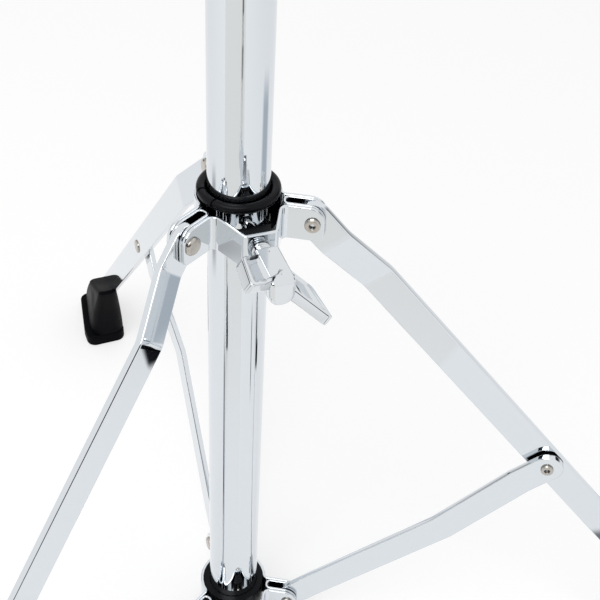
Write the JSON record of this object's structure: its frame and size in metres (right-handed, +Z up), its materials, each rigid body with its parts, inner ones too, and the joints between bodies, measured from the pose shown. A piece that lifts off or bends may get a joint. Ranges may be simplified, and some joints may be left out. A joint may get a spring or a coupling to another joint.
{
  "type": "straight cymbal stand",
  "caption": "Folding single-braced tripod with three telescoping chromed tubes, wing-screw clamps, a tilter and a felted seat that holds a cymbal.",
  "frame": {"origin": "centre of the footprint box, on the plane that the three feet stand on", "axes": "+Z up along the tubes, -Y towards the wing screws, +X to the right when seen from the wing screws"},
  "size_m": [0.4958, 0.4398, 1.3147],
  "materials": {
    "chrome": "mirror-bright chrome plate",
    "casting": "chrome-plated die casting",
    "zinc": "nickel-plated steel, slightly warm",
    "rubber": "matt black moulded rubber",
    "plastic": "black nylon, faint sheen",
    "felt": "pressed charcoal wool felt"
  },
  "bodies": {
    "base": {"base_tube": "chrome", "base_tube_plug": "plastic", "lower_collar_bush": "plastic", "lower_collar_nut": "plastic", "lower_collar_screw": "zinc", "base_clamp_body": "casting", "base_clamp_bush": "plastic", "lower_collar_strip_front": "chrome", "lower_collar_strip_left": "chrome", "lower_collar_strip_right": "chrome", "lower_hinge_channel_right": "chrome", "lower_hinge_channel_left": "chrome", "lower_hinge_channel_back": "chrome", "brace_hinge_rivet_right": "zinc", "brace_hinge_rivet_left": "zinc", "brace_hinge_rivet_back": "zinc"},
    "collar": {"collar_bush_ring": "plastic", "collar_screw_nut": "plastic", "collar_strip_front": "chrome", "collar_strip_left": "chrome", "collar_strip_right": "chrome", "hinge_channel_right": "chrome", "hinge_channel_left": "chrome", "hinge_channel_back": "chrome", "leg_hinge_rivet_right": "zinc", "leg_hinge_rivet_left": "zinc", "leg_hinge_rivet_back": "zinc"},
    "collar_screw": {"collar_wing_screw": "casting"},
    "base_screw": {"base_wing_screw": "casting"},
    "middle_screw": {"middle_wing_screw": "casting"},
    "middle_stage": {"middle_tube": "chrome", "middle_clamp_body": "casting", "middle_clamp_bush": "plastic"},
    "upper_stage": {"upper_tube": "chrome", "tilter_lower_half": "casting", "tilter_bolt": "zinc"},
    "tilter": {"tilter_upper_half": "casting", "cymbal_rod": "zinc", "cup_washer": "chrome", "cymbal_sleeve": "plastic", "lower_felt": "felt", "upper_felt": "felt"},
    "tilter_nut": {"tilter_wing_nut": "casting"},
    "top_nut": {"top_wing_nut": "casting"},
    "brace_right": {"brace_right": "chrome"},
    "leg_right": {"leg_right": "chrome", "leg_brace_rivet_right": "zinc", "leg_brace_washer_right": "plastic", "foot_right": "rubber"},
    "brace_left": {"brace_left": "chrome"},
    "leg_left": {"leg_left": "chrome", "leg_brace_rivet_left": "zinc", "leg_brace_washer_left": "plastic", "foot_left": "rubber"},
    "brace_back": {"brace_back": "chrome"},
    "leg_back": {"leg_back": "chrome", "leg_brace_rivet_back": "zinc", "leg_brace_washer_back": "plastic", "foot_back": "rubber"}
  },
  "joints": [
    {"name": "brace_back_fold", "type": "hinge", "parent": "base", "child": "brace_back", "pos_m": [-0.00384, -0.03174, 0.02161], "axis": [-1, 0, 0], "range_deg": [-32.2, 17.8]},
    {"name": "leg_back_fold", "type": "hinge", "parent": "brace_back", "child": "leg_back", "pos_m": [-0.00384, 0.0854, 0.1508], "axis": [-1, 0, 0], "range_deg": [-35.6, 64.4]},
    {"name": "collar_rise", "type": "hinge", "parent": "leg_back", "child": "collar", "pos_m": [-0.00384, -0.03174, 0.28], "axis": [-1, 0, 0], "range_deg": [-32.2, 17.8]},
    {"name": "leg_right_fold", "type": "hinge", "parent": "collar", "child": "leg_right", "pos_m": [0.02112, -0.07913, 0.28], "axis": [0.5, 0.866, 0], "range_deg": [-17.8, 32.2]},
    {"name": "brace_right_fold", "type": "hinge", "parent": "base", "child": "brace_right", "pos_m": [0.02112, -0.07913, 0.02161], "axis": [0.5, 0.866, 0], "range_deg": [-32.2, 17.8]},
    {"name": "leg_left_fold", "type": "hinge", "parent": "collar", "child": "leg_left", "pos_m": [-0.0324, -0.07705, 0.28], "axis": [0.5, -0.866, 0], "range_deg": [-17.8, 32.2]},
    {"name": "brace_left_fold", "type": "hinge", "parent": "base", "child": "brace_left", "pos_m": [-0.0324, -0.07705, 0.02161], "axis": [0.5, -0.866, 0], "range_deg": [-32.2, 17.8]},
    {"name": "collar_screw_turn", "type": "hinge", "parent": "collar", "child": "collar_screw", "pos_m": [-0.00643, -0.10262, 0.28], "axis": [-0.0349, -0.9994, 0], "continuous": true},
    {"name": "base_screw_turn", "type": "hinge", "parent": "base", "child": "base_screw", "pos_m": [-0.00504, -0.10264, 0.57301], "axis": [0, -1, 0], "continuous": true},
    {"name": "middle_stage_slide", "type": "slide", "parent": "base", "child": "middle_stage", "axis": [0, 0, 1], "range_m": [-0.265, 0.09]},
    {"name": "middle_screw_turn", "type": "hinge", "parent": "middle_stage", "child": "middle_screw", "pos_m": [-0.00504, -0.09864, 0.89301], "axis": [0, -1, 0], "continuous": true},
    {"name": "upper_stage_slide", "type": "slide", "parent": "middle_stage", "child": "upper_stage", "axis": [0, 0, 1], "range_m": [-0.23, 0.06]},
    {"name": "tilter_tilt", "type": "hinge", "parent": "upper_stage", "child": "tilter", "pos_m": [-0.00504, -0.06264, 1.21501], "axis": [1, 0, 0], "range_deg": [-80, 80]},
    {"name": "tilter_nut_turn", "type": "hinge", "parent": "upper_stage", "child": "tilter_nut", "pos_m": [0.00696, -0.06264, 1.21501], "axis": [1, 0, 0], "continuous": true},
    {"name": "top_nut_turn", "type": "hinge", "parent": "tilter", "child": "top_nut", "pos_m": [-0.00504, -0.06264, 1.29501], "axis": [0, 0, 1], "continuous": true}
  ],
  "couplings": [
    {"joint": "leg_back_fold", "follows": "brace_back_fold", "ratio": -2},
    {"joint": "collar_rise", "follows": "brace_back_fold", "ratio": 1},
    {"joint": "leg_right_fold", "follows": "brace_back_fold", "ratio": -1},
    {"joint": "brace_right_fold", "follows": "brace_back_fold", "ratio": 1},
    {"joint": "leg_left_fold", "follows": "brace_back_fold", "ratio": -1},
    {"joint": "brace_left_fold", "follows": "brace_back_fold", "ratio": 1}
  ]
}
